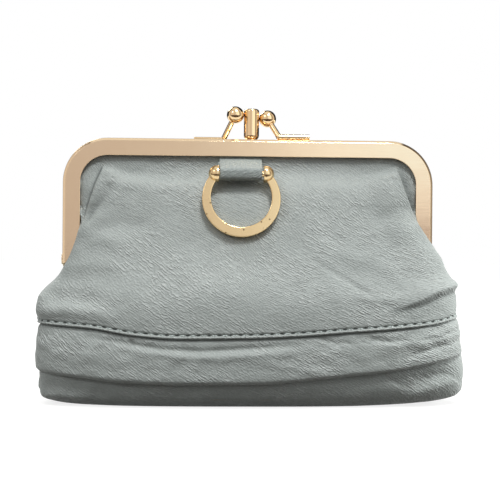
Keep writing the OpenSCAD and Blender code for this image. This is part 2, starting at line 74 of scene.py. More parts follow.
# Upper leather of the front, from the frame down to the stitched seam
# One piece of thin, soft sheepskin. It is glued into the channel of the front frame, puffs out below it, laps
# over the feet of the legs, and ends in a turned hem that is topstitched over the band.
table_line = [(-90, 0), (90, 0)]
seam_heights = [(-87, 33.6), (-63, 32.3), (-45, 29.6), (-28, 28.5), (-3, 28.8), (20, 29.8), (38, 31.2), (56, 32.4),
                (72, 33.9), (83, 36), (87, 37)]
channel_z = 103.2
hem_drop, skin_t, plies_apart = 0.8, 0.9, 0.15
upper_shape = {
    "left": [(0, 84), (20, 84.3), (30, 84.4), (33.5, 84.6), (38, 85.6), (42.5, 85), (46, 82.6), (50.8, 77.3),
             (54.5, 74.3), (57.6, 72.6), (61.5, 71), (65, 69.7), (68.5, 68.7), (71, 68), (74, 67.4), (78.5, 67.6),
             (81, 68.3), (92, 68.3), (96, 67.4), (99, 66.6), (101, 65.2), (103.2, 62)],
    "right": [(0, 86), (20, 86.2), (30, 86.2), (36.6, 85.2), (40.4, 85.4), (44, 85.2), (47.9, 83.4), (51, 81.2),
              (54, 79.8), (58.8, 78.2), (63.7, 75.4), (67.1, 73), (72.4, 69.6), (75, 68.1), (77.5, 67.6), (79, 67.7),
              (81, 68.3), (92, 68.3), (96, 67.4), (99, 66.6), (101, 65.2), (103.2, 62)],
    "edge": [(0, 0.3), (40, 0.5), (44, 0.9), (48, 2.2), (52, 4.6), (56, 7), (62, 8.2), (68, 8), (71, 7.2), (74, 5.9),
             (77, 4.8), (80, 4.3), (104, 4.2)],
    "middle": [(26, 26), (30, 26.1), (34, 26), (38, 25.6), (43, 24.6), (48, 22.9), (54, 20.4), (58, 18.9),
               (62, 17.5), (67, 15.9), (75, 13.7), (80, 12.3), (84, 11), (88, 9.1), (91, 7), (94, 5), (96.5, 4.3),
               (99, 4.2), (104, 4.2)],
    "fixed_in": [(0, 1.5), (48, 1.5), (51, 1.8), (53.2, 3.7), (54.6, 8), (56, 9), (72, 3), (77, 0), (79, -1),
                 (90, -2.8), (96, -2.4), (100, -1), (103.2, 0)],
    "fixed_y": [(0, 0.15), (50, 0.15), (52.6, 1.2), (54.4, 4.5), (56, 6.1), (75, 6.1), (79, 4.4), (104, 4.2)],
    "round": [(20, 3.2), (40, 3), (54, 2.7), (66, 2.8), (80, 3.6), (104, 4.5)],
    "flat": [(20, 3.2), (40, 3), (54, 2.3), (66, 1.7), (80, 1.25), (104, 1.1)],
}
lip_columns, half_columns, upper_rows = 8, 150, 124


def through(table, at):
    """Value at each place of a short table of (place, value), in mm: the cubic through neighbouring entries whose slope
    at an entry is the harmonic mean of the slopes on its two sides, so it never overshoots."""
    places, values = np.array(table, float).T
    step = np.diff(places)
    rise = np.diff(values) / step
    before, after = rise[:-1], rise[1:]
    same = before * after > 0
    mean = np.where(same, 2 * before * after / np.where(same, before + after, 1), 0)
    slope = np.concatenate([rise[:1], mean, rise[-1:]])
    at = np.clip(at, places[0], places[-1])
    i = np.clip(np.searchsorted(places, at, side="right") - 1, 0, len(step) - 1)
    h, mean, first, last = (at - places[i]) / step[i], rise[i], slope[i], slope[i + 1]
    return values[i] + step[i] * h * (first + h * (3 * mean - 2 * first - last + h * (first + last - 2 * mean)))


def smooth_step(x):
    """0 below 0, 1 above 1, and 3x^2 - 2x^3 between."""
    x = np.clip(x, 0, 1)
    return x * x * (3 - 2 * x)


def from_line(x, z, points):
    """Distance of each place (x, z) from a line through points, its side (1 to the left of the line's direction, -1 to
    the right), and how far along the line its nearest point lies, from 0 to 1."""
    best = np.full(np.shape(x), 1e9)
    side, along = np.zeros(np.shape(x)), np.zeros(np.shape(x))
    points = np.array(points, float)
    lengths = np.hypot(*np.diff(points, axis=0).T)
    for (x0, z0), (x1, z1), start, length in zip(points[:-1], points[1:], np.cumsum(lengths) - lengths, lengths):
        ux, uz = (x1 - x0) / length, (z1 - z0) / length
        run = np.clip((x - x0) * ux + (z - z0) * uz, 0, length)
        dx, dz = x - x0 - run * ux, z - z0 - run * uz
        d = np.hypot(dx, dz)
        nearer = d < best
        best = np.where(nearer, d, best)
        side = np.where(nearer, np.sign(ux * dz - uz * dx), side)
        along = np.where(nearer, (start + run) / lengths.sum(), along)
    return best, side, along


def creases(x, z, *rows):
    """A sum of ridges (height above 0) and furrows (below 0), each given as its line, height and width: a bell across
    the line, lower towards both ends."""
    out = np.zeros(np.shape(x))
    for points, height, width in rows:
        d, _, along = from_line(x, z, points)
        out += height * np.minimum(1, 4 * np.minimum(along, 1 - along) + 0.15) * np.exp(-((d / width) ** 2))
    return out


def lap(x, z, points, height, reach, sharp, fade_in, fade_out):
    """Leather that laps over its neighbour along a line: proud on the left of the line's direction, falling off
    within sharp of it, and dying away over reach on the proud side."""
    d, side, along = from_line(x, z, points)
    across = d * side
    ends = smooth_step(along / fade_in) * smooth_step((1 - along) / fade_out)
    return height * ends * smooth_step(across / sharp + 0.5) * np.exp(-((np.maximum(across, 0) / reach) ** 2))


def soft_waves(x, z, seed, size=18.0, height=0.16):
    """Slow unevenness of soft leather: a sum of sine waves in seeded directions, from size down to a third of it."""
    rng = np.random.default_rng(seed)
    total = np.zeros(np.shape(x))
    for k in range(9):
        wave = size / (1 + k / 4)
        angle, phase = rng.uniform(0, np.pi), rng.uniform(0, 2 * np.pi)
        total += np.sin(2 * np.pi * (x * np.cos(angle) + z * np.sin(angle)) / wave + phase) / (1 + k / 3)
    return height * total / 2.5


def raised(line, by):
    """A line of (place, height) lifted by some mm."""
    return [(place, height + by) for place, height in line]


def level_lines(low, high, power, rows, shape):
    """A grid of points, rows by columns by 3, from the left side round the front to the right, in mm. Its rows go from
    the line low to the line high, closer together at the bottom the larger power is. A row starts at its fixed edge and
    runs over a lip, a quadratic curve, to its widest place (w, e). From there x = w cos(a)^(2/n),
    y = e + (d - e)(1 - (x/w)^n)^(1/m) up to the middle (0, d)."""
    sides = []
    angle = np.concatenate([np.zeros(lip_columns), np.linspace(0, 1, half_columns) ** 1.05]) * np.pi / 2
    lip = slice(0, lip_columns)
    t = np.linspace(0, 1, lip_columns, endpoint=False)
    share = np.linspace(0, 1, rows)[:, None] ** power
    for edge, sign in (("left", -1), ("right", 1)):
        x = 0 * share * angle
        for done in (False, False, True):
            bottom = through(low, sign * x)
            z = bottom + (through(high, sign * x) - bottom) * share
            if not done:
                w, n = through(shape[edge], z), through(shape["round"], z)
                x = w * np.cos(angle) ** (2 / n)
        e, d = through(shape["edge"], z), through(shape["middle"], z)
        y = e + (d - e) * (1 - np.clip(x / w, 0, 1) ** n) ** (1 / through(shape["flat"], z))
        w, e, low_z = w[:, lip], e[:, lip], z[:, lip]
        fixed_x, fixed_y = w - through(shape["fixed_in"], low_z), through(shape["fixed_y"], low_z)
        ahead_y = np.minimum(e, fixed_y + 0.4)
        x[:, lip] = (1 - t) ** 2 * fixed_x + 2 * t * (1 - t) * (w - 0.2) + t * t * w
        y[:, lip] = (1 - t) ** 2 * fixed_y + 2 * t * (1 - t) * ahead_y + t * t * e
        sides.append(np.stack([sign * x, -y, z], -1))
    return np.concatenate([sides[0], sides[1][:, -2::-1]], axis=1)


def steps_along(points, axis):
    """Length of each step along one axis of a grid of points, with 0 before the first one."""
    return np.linalg.norm(np.diff(points, axis=axis, prepend=points.take([0], axis)), axis=-1)


def outward(points):
    """The sheet's own unit normal at each point of a grid."""
    normal = np.cross(np.gradient(points, axis=1), np.gradient(points, axis=0))
    return normal / np.maximum(np.linalg.norm(normal, axis=2, keepdims=True), 1e-9)


def push_out(points, height):
    """Moves each point of a grid outwards along the sheet's own normal, by height in mm."""
    return points + outward(points) * height[..., None]


def turn_under(points, *rows):
    """A grid whose first row is folded under, by rows put before it. Each row is given as its share of the edge's
    width, and as the distances behind and above the edge, in mm."""
    turned = np.concatenate([points[:1] * [wide, 1, 1] + [0, behind, above] for wide, behind, above in rows])
    turned[..., 1] = np.minimum(turned[..., 1], -plies_apart)
    return np.concatenate([turned, points])


def mesh_piece(name, points, faces):
    """A smooth-shaded object from points in mm and faces, at the origin."""
    mesh = bpy.data.meshes.new(name)
    mesh.from_pydata((points.reshape(-1, 3) * mm).tolist(), [], faces)
    mesh.shade_smooth()
    piece = bpy.data.objects.new(name, mesh)
    scene.collection.objects.link(piece)
    return piece


def quads_of(index):
    """One quad between each four neighbours in the last two axes of an array of point numbers."""
    corners = index[..., :-1, :-1], index[..., :-1, 1:], index[..., 1:, 1:], index[..., 1:, :-1]
    return np.stack(corners, -1).reshape(-1, 4)


def grid_piece(name, points, flip=False, wrap=False, seam=None, fold=None):
    """An object from a grid of points in mm, one quad between each four neighbours, with wrap also from the last column
    to the first. UV map skin holds the lengths run along row and column, in metres, and seam a second pair. Attribute
    fold holds painted shade at each point, from 0 to 1: how far the leather's colour is darkened where shade would
    fall, in creases and under the rail."""
    rows, cols = points.shape[:2]
    index = np.arange(rows * cols).reshape(rows, cols)
    if wrap:
        index = np.hstack([index, index[:, :1]])
    quads = quads_of(index)
    piece = mesh_piece(name, points, (quads[:, ::-1] if flip else quads).tolist())
    mesh = piece.data
    across, up = steps_along(points, 1).mean(0).cumsum(), steps_along(points, 0).mean(1).cumsum()
    maps = {"skin": np.stack(np.meshgrid(across, up), -1)}
    if seam is not None:
        maps["seam"] = seam
    corner = np.zeros(len(mesh.loops), int)
    mesh.loops.foreach_get("vertex_index", corner)
    for label, values in maps.items():
        layer = mesh.uv_layers.new(name=label)
        layer.data.foreach_set("uv", (values.reshape(-1, 2)[corner] * mm).ravel())
    if fold is not None:
        mesh.attributes.new("fold", "FLOAT", "POINT").data.foreach_set("value", fold.ravel())
    return piece


def thicken(piece, thickness, edge_material=0):
    """Gives a sheet its thickness, inwards from its outer face."""
    solid = piece.modifiers.new("thickness", "SOLIDIFY")
    solid.thickness = thickness * mm
    solid.material_offset_rim = edge_material
    return piece


left_fold = [(-58.6, 96.5), (-62, 88), (-64.6, 80), (-67, 71), (-70, 63)]
left_furrow = [(-66, 71), (-62, 77.5), (-56, 86), (-51, 90)]
right_fold = [(71, 68), (66.6, 77), (63, 86), (60, 97)]
corner_fold = [(54, 38.6), (61, 39.8), (67, 41.4), (74, 44.4), (80, 45.9), (86, 46.8)]


def front_painted_shade(x, z):
    """Painted shade on the front, from 0 to 1, which darkens the colour where shade would fall: narrow along the two
    pressed folds at the top, softer in the furrow beside the left one, under the corner's fold, on the leather that the
    right one covers, and in a band just under the rail."""
    deep = np.zeros(np.shape(x))
    for points, most, width, shift, fade in (
            (left_fold[:4], 0.95, 0.5, 0.15, 0.2), (left_furrow, 0.35, 0.9, 0, 0.8), (right_fold, 0.5, 1.7, 1.3, 0.2),
            (corner_fold, 0.4, 1.2, 0.6, 0.2)):
        d, side, along = from_line(x, z, points)
        ends = smooth_step(along / 0.12) * smooth_step((1 - along) / fade)
        deep = np.maximum(deep, most * ends * np.exp(-(((d * side + shift) / width) ** 2)))
    # Painted shade: a band that grows darker towards the rail, where the rail's shadow would fall.
    return np.maximum(deep, 0.28 * smooth_step((z - 92) / 7))


def front_folds(x, z):
    """Outward height, in mm, of the folds in the leather of the front: three laps, a furrow that widens and dies away
    upwards, creases, and short tight wrinkles on both sides of the tab."""
    out = lap(x, z, left_fold, 1.7, 9, 0.6, 0.1, 0.4)
    out += lap(x, z, right_fold, 2, 11, 1.1, 0.4, 0.15)
    out += lap(x, z, corner_fold, 2.8, 9, 2.2, 0.6, 0.08)
    d, _, along = from_line(x, z, left_furrow)
    out -= 1.1 * smooth_step(along / 0.2) * smooth_step((1 - along) / 0.8) * np.exp(-((d / (1.3 + 1.6 * along)) ** 2))
    out += creases(
        x, z, (left_fold[:4], -0.7, 0.8), ([(-62, 68), (-52, 72), (-40, 71)], -0.7, 3.2),
        ([(-66, 64), (-58, 66), (-48, 64)], 0.6, 3.5), ([(-54, 93), (-40, 92), (-26, 91), (-14, 92)], -0.7, 1.9),
        ([(-56, 88.5), (-40, 87), (-24, 87)], 0.5, 2.4), ([(-57, 95), (-55.5, 91), (-56, 87)], 0.8, 2),
        ([(14, 92), (30, 90.5), (50, 91)], -0.3, 2), ([(52, 84), (58, 75), (66, 65)], 0.35, 5),
        ([(40, 44.5), (52, 43), (62, 43.5)], 0.5, 2), ([(-84, 37.6), (-72, 38.2), (-62, 37.6), (-52, 35)], 0.8, 2.8),
        ([(-84, 43.2), (-70, 43.5), (-56, 41.5)], -1.3, 3.4), ([(-76, 52), (-64, 56), (-50, 55)], 0.7, 4),
        ([(22, 60), (32, 54), (42, 48), (52, 42)], -0.4, 1.1), ([(26, 66), (38, 60), (50, 58), (62, 50)], 0.35, 3),
        ([(-40, 62), (-20, 50), (-2, 42)], 0.4, 6), ([(-20, 64), (4, 58), (20, 46)], -0.35, 6))
    for z_end in (96.5, 94, 91, 88.5):
        far_z, near_z = 0.6 * z_end + 36.6, 0.8 * z_end + 18.3
        out += creases(x, z, ([(-24, far_z), (-18, near_z), (-14.5, z_end)], -0.25, 0.5),
                       ([(17, far_z), (11, near_z), (8, z_end)], -0.2, 0.5))
    return out


stitch_pitch, stitch_above, stitch_sink = 4.1, 1.2, 0.45
held_z, hem_rows = 101, 3


def hem_relief(above):
    """Relief of the topstitched hem at a height above its edge: proud at the folded edge, pulled in at the stitches."""
    proud, sunk = (np.exp(-(((above - at) / stitch_sink) ** 2)) for at in (0.4, stitch_above))
    return 0.4 * proud - 0.5 * sunk


def upper_leather(name, turn, folds, depth, seed):
    """The upper leather of the front (turn 1) or of the back (turn -1), with its folds, and its hem turned under. The
    seam map runs along the hem and up from its edge."""
    hem = raised(seam_heights, -hem_drop)
    points = level_lines(hem, raised(table_line, channel_z), 1.3, upper_rows, upper_shape)
    x, z = points[..., 0], points[..., 2]
    above = z - through(hem, x)
    column = np.arange(points.shape[1])
    from_side = np.minimum(column, column[::-1]) - lip_columns
    free = smooth_step((held_z - z) / 6) * smooth_step(from_side / 6)
    relief = (folds(x, z) + soft_waves(x, z, seed)) * free * smooth_step(above / 4) + hem_relief(above)
    points = push_out(points, relief)
    points = turn_under(points, (0.978, 1.95, 2), (0.978, 1.95, 0.4), (0.988, 1, -0.4)) * [1, turn, 1]
    run = steps_along(points[5], 0).cumsum()
    above = np.concatenate([np.full((hem_rows, len(column)), -3), above])
    seam = np.stack([np.broadcast_to(run, above.shape), above], -1)
    # The fold attribute carries the painted shade. There is none on the turned hem.
    fold = np.concatenate([np.zeros((hem_rows, len(column))), depth(x, z) * free])
    return thicken(grid_piece(name, points, flip=turn < 0, seam=seam, fold=fold), skin_t), points, seam


front_leather, front_points, front_seam = upper_leather("front_leather", 1, front_folds, front_painted_shade, 11)
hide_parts("front_panel", "front_fold", "front_body")


def linear(hex_colour):
    """A colour written as sRGB hex, in the linear values that a material takes."""
    c = np.array([int(hex_colour[i : i + 2], 16) for i in (0, 2, 4)]) / 255
    return (*np.where(c <= 0.04045, c / 12.92, ((c + 0.055) / 1.055) ** 2.4), 1)


def add(tree, kind, inputs=None, out=0, **settings):
    """Adds a shader node to a tree, sets its settings, and gives each named or numbered input a value, a hex colour or
    a link. Gives back the output that out names or numbers, or with None all of them."""
    made = tree.nodes.new("ShaderNode" + kind)
    for key, value in settings.items():
        setattr(made, key, value)
    for key, value in (inputs or {}).items():
        if isinstance(value, bpy.types.NodeSocket):
            tree.links.new(value, made.inputs[key])
        else:
            made.inputs[key].default_value = linear(value) if isinstance(value, str) else value
    return made.outputs if out is None else made.outputs[out]


def new_material(name):
    """An empty node material and its tree."""
    made = bpy.data.materials.new(name)
    made.use_nodes = True
    made.node_tree.nodes.clear()
    return made, made.node_tree


def sheepskin(name, dark="8F9693", light="B0B6B3", stitched=False, wrinkle=1.0):
    """Glove sheepskin, drum dyed and left nearly matt: fine wrinkles down to the right, 1 mm apart and 3 to 4 mm long,
    which give way here and there to 0.8 mm pebbles, with slow cloudiness of the dye 25 mm across. The backs of the
    wrinkles are a little lighter and shinier. Shade is painted into the colour: it turns dark where the fold attribute
    is set, in creases and under the rail. With stitched, needle dents follow the seam map between the stitches, and
    painted shade darkens them."""
    made, tree = new_material(name)
    skin = add(tree, "UVMap", uv_map="skin")
    sizes = (6, 2.9, -33), (3.2, 1.4, -33), (1.1, 0.8, -33), (25, 21, 0)
    waves_at, broken_at, pebbles_at, clouds_at = [
        add(tree, "Mapping", {"Vector": skin, "Rotation": (0, 0, np.radians(turn)), "Scale": (long * mm, wide * mm, 1)},
            vector_type="TEXTURE") for long, wide, turn in sizes]
    waves = add(tree, "TexWave", {"Vector": waves_at, "Scale": 1, "Distortion": 7, "Detail Scale": 1.6,
                "Detail Roughness": 0.6}, bands_direction="Y", out="Fac")
    broken = add(tree, "TexNoise", {"Vector": broken_at, "Scale": 1, "Detail": 1}, noise_dimensions="2D")
    broken = add(tree, "MapRange", {"Value": broken, "From Min": 0.35, "From Max": 0.6})
    lines = add(tree, "Math", {0: waves, 1: broken}, operation="MULTIPLY")
    pebbles = add(tree, "TexVoronoi", {"Vector": pebbles_at, "Scale": 1, "Smoothness": 0.35}, voronoi_dimensions="2D",
                  feature="SMOOTH_F1")
    clouds = add(tree, "TexNoise", {"Vector": clouds_at, "Scale": 1, "Detail": 3}, noise_dimensions="2D")
    share = add(tree, "MapRange", {"Value": clouds, "From Min": 0.4, "From Max": 0.6, "To Min": 0.35})
    lines = add(tree, "Math", {0: lines, 1: share}, operation="MULTIPLY")
    height = add(tree, "Math", {0: pebbles, 1: -0.55, 2: lines}, operation="MULTIPLY_ADD")
    tone = add(tree, "Math", {0: height, 1: clouds}, operation="ADD")
    tone = add(tree, "MapRange", {"Value": tone, "From Min": -0.3, "From Max": 1.5})
    colour = add(tree, "Mix", {0: tone, 6: dark, 7: light}, data_type="RGBA", out=2)
    # Painted shade: where the fold attribute is set, the colour goes towards dark 4B5250, in creases and under the
    # rail.
    folded = add(tree, "Attribute", attribute_name="fold", out="Fac")
    colour = add(tree, "Mix", {0: folded, 6: colour, 7: "4B5250"}, data_type="RGBA", out=2)
    if stitched:
        seam = add(tree, "SeparateXYZ", {0: add(tree, "UVMap", uv_map="seam")}, out=None)
        along = add(tree, "Math", {0: seam[0], 1: stitch_pitch / 2 * mm}, operation="PINGPONG")
        along = add(tree, "Math", {0: along, 1: 0.42, 2: -0.21 * stitch_pitch * mm}, operation="MULTIPLY_ADD")
        up = add(tree, "Math", {0: seam[1], 1: stitch_above * mm}, operation="SUBTRACT")
        both = add(tree, "CombineXYZ", {0: along, 1: up})
        far = add(tree, "VectorMath", {0: both}, operation="LENGTH", out="Value")
        dent = add(tree, "MapRange", {"Value": far, "From Min": 0.2 * mm, "From Max": 0.46 * mm, "To Min": 1,
                   "To Max": 0}, interpolation_type="SMOOTHSTEP")
        # Painted shade: the needle dents are darkened towards 434A47, standing in for the shade inside the holes.
        colour = add(tree, "Mix", {0: dent, 6: colour, 7: "434A47"}, data_type="RGBA", out=2)
        height = add(tree, "Math", {0: dent, 1: -1.6, 2: height}, operation="MULTIPLY_ADD")
    rough = add(tree, "MapRange", {"Value": height, "From Min": -0.2, "To Min": 0.62, "To Max": 0.44})
    bump = add(tree, "Bump", {"Height": height, "Distance": 0.23 * mm * wrinkle})
    shader = add(tree, "BsdfPrincipled", {"Base Color": colour, "Roughness": rough, "Normal": bump, "Sheen Weight": 0.1,
                 "Sheen Roughness": 0.4, "Specular IOR Level": 0.45})
    add(tree, "OutputMaterial", {"Surface": shader}, out=None)
    return made


sheepskin_stitched = sheepskin("sheepskin_topstitched", stitched=True)
sheepskin_plain = sheepskin("sheepskin")
front_leather.data.materials.append(sheepskin_stitched)

# Upper leather of the back
# One piece of the same sheepskin, cut and sewn as the front and glued into the channel of the back frame. Its folds
# are quieter, because the back has no ring and the leather hangs freely.


def back_folds(x, z):
    """Outward height, in mm, of the folds in the leather of the back."""
    out = lap(x, z, [(-60, 95), (-63, 86), (-67, 74)], 1.5, 10, 1.3, 0.15, 0.15)
    out += lap(x, z, [(68, 72), (64, 82), (60, 95)], 1.6, 9, 1.3, 0.15, 0.15)
    return out + creases(
        x, z, ([(-46, 91), (-10, 93), (30, 90)], 0.7, 3), ([(-82, 44), (-66, 43), (-46, 40)], -1.1, 3),
        ([(50, 41), (68, 44), (84, 46)], -1.2, 3), ([(-40, 66), (-14, 56), (8, 44)], 0.5, 5),
        ([(20, 62), (40, 52), (58, 46)], -0.5, 4))


def back_painted_shade(x, z):
    """The back has no pressed folds, so no shade is painted on it."""
    return 0 * x


back_leather, back_points, back_seam = upper_leather("back_leather", -1, back_folds, back_painted_shade, 23)
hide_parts("back_panel", "back_fold", "back_body")
back_leather.data.materials.append(sheepskin_stitched)

for upper, body in ((front_leather, "front_frame"), (back_leather, "back_frame")):
    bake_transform(upper)

# Lower leather, front and back
# The same skin goes on behind the band, down to the table, and turns in under the purse. It is sewn to its other half
# at the sides and to the base leather below.
lower_shape = {
    "left": [(0.05, 67), (0.4, 73.5), (1, 77.5), (1.7, 80), (2.6, 82.2), (3.7, 83.3), (6.5, 84), (14, 84), (32, 83.4)],
    "right": [(0.05, 58), (0.4, 65), (1, 72.5), (1.7, 78.5), (2.6, 83), (3.7, 86), (6.5, 88), (14, 88.4), (20, 87.6),
              (32, 85)],
    "edge": [(0, 0.3), (32, 0.3)],
    "middle": [(0.05, 15), (0.8, 16.6), (2.5, 18.8), (5, 20.9), (9, 22.6), (14, 23.2), (32, 23.2)],
    "fixed_in": [(0, 1.5), (32, 1.5)],
    "fixed_y": [(0, 0.15), (32, 0.15)],
    "round": [(0, 3), (20, 3.2), (32, 3.1)],
    "flat": [(0, 3), (20, 3.2), (32, 3.1)],
}
lower_rows = 44


def lower_folds(x, z):
    """Outward height, in mm, of the folds and puckers at the lower corners."""
    puckers = [([(54 + 4 * k, 12.5 + 0.5 * k), (60 + 4 * k, 9.5 + 0.6 * k), (66 + 4 * k, 7.5 + 0.6 * k)], -0.5, 0.8)
               for k in range(6)]
    return creases(x, z, ([(-84, 3), (-74, 5), (-62, 3)], 0.9, 2), ([(-84, 8), (-70, 7), (-52, 6)], -0.5, 2.5),
                   ([(62, 4), (72, 8), (84, 12)], 0.8, 2.5), ([(66, 11), (76, 13), (85, 14)], -0.5, 2), *puckers)


def lower_leather(name, turn, seed):
    """The lower leather of one side, with slow waves that fade where it stands on the table and under the band."""
    points = level_lines(raised(table_line, 0.05), raised(seam_heights, -1.45), 1.7, lower_rows, lower_shape)
    x, z = points[..., 0], points[..., 2]
    free = smooth_step(z / 5) * smooth_step((26 - z) / 8)
    points = push_out(points, (lower_folds(x * turn, z) + soft_waves(x, z, seed)) * free)
    return thicken(grid_piece(name, points * [1, turn, 1], flip=turn < 0), skin_t)


for name, turn, seed in (("front_lower_leather", 1, 31), ("back_lower_leather", -1, 37)):
    lower = lower_leather(name, turn, seed)
    lower.data.materials.append(sheepskin_plain)
    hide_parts("front_body" if turn > 0 else "back_body")
    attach(lower, "bag")

# Band, front and back
# A strip of the same skin, pared thinner, softly gathered and caught under the topstitched hem. Its lower edge is
# folded under and stands a little off the leather behind.
pleat_heights = [(-87, 14), (-68, 12.2), (-50, 10.5), (-28, 9.8), (4, 10), (20, 11.3), (38, 13.1), (56, 14.9),
                 (75, 18.2), (87, 20.4)]
band_shape = dict(lower_shape, left=[(5, 83.6), (24, 83.6), (38, 83.2)], middle=[(5, 24.5), (38, 24.3)],
                  right=[(5, 86.2), (18, 86.1), (24, 85.2), (30, 85), (38, 84)])
band_rows, band_t = 46, 0.7
band_creases = {
    1: [([(-63, 28), (-48, 25.6), (-34, 23.3), (-20, 22.6), (-2, 23.6), (18, 25.2)], -0.95, 1.3),
        ([(-52, 25), (-40, 22.5), (-20, 20.2), (0, 21), (20, 23)], 0.5, 1.7),
        ([(-46.5, 28), (-45.5, 25.5), (-45, 23)], -0.6, 0.8), ([(26, 29), (31, 26.6), (36, 24.4)], -0.5, 0.9),
        ([(45, 28.2), (54, 26.8), (64, 27)], -0.6, 1), ([(2, 19.4), (14, 17), (30, 14.2)], 0.35, 1.3),
        ([(50, 25), (66, 26.5), (84, 30)], 0.7, 2), ([(62, 21), (74, 24), (86, 27)], -0.8, 1.3),
        ([(64, 26.5), (74, 28), (86, 31.5)], -0.5, 0.9), ([(-80, 25), (-70, 23.5), (-58, 20)], 0.5, 3.5)],
    -1: [([(-70, 26), (-30, 22), (30, 24), (70, 28)], -0.8, 1.5), ([(-60, 17), (0, 15), (60, 20)], 0.4, 2.5)],
}
for k in range(9):
    start = 25 + 2.6 * k + 5 * (k > 3)
    band_creases[1].append(([(start, 29.5), (start + 3, 27.4 - 0.2 * (k % 5)), (start + 7.5, 25.6)], -0.35, 0.5))
for start in range(-84, -69, 3):
    band_creases[1].append(([(start, 29), (start + 5, 25), (start + 11, 22)], -0.3, 0.6))


def band_relief(x, z, turn, seed):
    """Height of the band over its line: flat under the hem, a soft furrow 5 to 6 mm below it, full above the pleat."""
    low, high = through(pleat_heights, x), through(seam_heights, x)
    share = (z - low) / (high - low)
    out = 0.75 + 1.5 * np.sin(np.pi * np.clip(share, 0, 1) ** 0.8) ** 0.8 * (1 - 0.35 * share)
    out += 0.55 * (1 - smooth_step(share / 0.3)) - 0.5 * (1 - smooth_step(share / 0.06))
    out += creases(x, z, *band_creases[turn]) - 1.3 * smooth_step((share - 0.87) / 0.12)
    return out + soft_waves(x, z, seed, 14, 0.3) * np.clip(4 * share * (1 - share), 0, 1)


def band(name, turn, seed):
    """The band of one side. Its lower edge turns in, and goes up again behind itself for 3 mm."""
    points = level_lines(pleat_heights, raised(seam_heights, -0.2), 1, band_rows, band_shape)
    points = push_out(points, band_relief(points[..., 0], points[..., 2], turn, seed))
    points = turn_under(points, (0.988, 1.3, 3), (0.988, 1.3, 0.3), (0.994, 0.65, -0.25)) * [1, turn, 1]
    return thicken(grid_piece(name, points, flip=turn < 0), band_t)


for name, turn, seed, solid in (
        ("front_band_leather", 1, 41, "front_band"), ("back_band_leather", -1, 43, "back_band")):
    strip = band(name, turn, seed)
    strip.data.materials.append(sheepskin_plain)
    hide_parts(solid)
    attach(strip, "bag")

# Base leather
# The bottom panel, cut from the same skin and sewn inside the turned edges of the lower leather. A board inside keeps
# it flat, just off the table.
base_rows, base_columns, base_t = 25, 121, 0.6
across = np.sin(np.linspace(-1, 1, base_columns) * np.pi / 2)
base_x = np.where(across < 0, 62, 60) * across
base_half = 16.4 * (1 - np.abs(across) ** 3) ** (1 / 3)
base_y = np.linspace(1, -1, base_rows)[:, None] * base_half
base_z = 0.75 - 0.3 * smooth_step(1 - (base_y / 17) ** 2) * smooth_step((1 - np.abs(across)) * 4)
base_points = np.stack([base_x + 0 * base_y, base_y, base_z], -1)
base_leather = thicken(grid_piece("base_leather", base_points), base_t)
base_leather.data.materials.append(sheepskin_plain)
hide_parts("base_panel")
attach(base_leather, "bag")

# Topstitching of the hem
# A single row of 0.5 mm polyester thread, sewn through hem and band by machine. It has 4.1 mm from hole to hole and
# pulls the hem in.
thread_d, stitch_show = 0.5, 2.3
rod_rings, rod_sides = 7, 8


def topstitching(name, turn, points, seam):
    """One short rod for each stitch, on the leather where the seam map is at the stitches' height. At t, from -1 at one
    end of a rod to 1 at the other, it is r = d/2 sqrt(1 - t^6) thick and lies 0.12 + 0.16 (1 - t^2) mm off the hem."""
    above, run = seam[..., 1], seam[0, :, 0]
    row = np.argmax(above > stitch_above, axis=0)
    column = np.arange(points.shape[1])
    share = (stitch_above - above[row - 1, column]) / (above[row, column] - above[row - 1, column])
    line = points[row - 1, column] * (1 - share[:, None]) + points[row, column] * share[:, None]
    normal = outward(points)[row, column] * turn
    middle = np.arange(1, int(run[-1] / stitch_pitch) - 1) * stitch_pitch
    middle = middle[(middle > run[lip_columns + 2]) & (middle < run[-lip_columns - 3])]

    def at(values, places):
        """Where a line of points, or its normals, stands at places along the hem."""
        return np.stack([np.interp(places, run, values[:, k]) for k in range(3)], -1)

    centre, out = at(line, middle), at(normal, middle)
    ahead = at(line, middle + 0.5) - at(line, middle - 0.5)
    ahead /= np.linalg.norm(ahead, axis=1, keepdims=True)
    side = np.cross(out, ahead)
    along = np.linspace(-1, 1, rod_rings)[:, None, None]
    around = np.linspace(0, 2 * np.pi, rod_sides, endpoint=False)[:, None]
    thick = np.sqrt(np.clip(1 - along**6, 0.02, 1)) * thread_d / 2
    arch = 0.12 + 0.16 * (1 - along**2)
    centre, out, ahead, side = (values[:, None, None] for values in (centre, out, ahead, side))
    rods = centre + ahead * along * stitch_show / 2
    rods = rods + out * (arch + thick * np.cos(around)) + side * thick * np.sin(around)
    index = np.arange(len(middle) * rod_rings * rod_sides).reshape(-1, rod_rings, rod_sides)
    quads = quads_of(np.concatenate([index, index[..., :1]], axis=2))
    ends = np.concatenate([index[:, 0, ::-1], index[:, -1]])
    return mesh_piece(name, rods, quads.tolist() + ends.tolist())


def dull_finish(made, tree, share, height, dark, light, depth, looks):
    """Ends a material: its colour goes from dark to light by share, over a relief depth mm deep where height is 1."""
    tone = add(tree, "Mix", {0: share, 6: dark, 7: light}, data_type="RGBA", out=2)
    bump = add(tree, "Bump", {"Height": height, "Distance": depth * mm})
    shader = add(tree, "BsdfPrincipled", {"Base Color": tone, "Normal": bump, **looks})
    add(tree, "OutputMaterial", {"Surface": shader}, out=None)
    return made


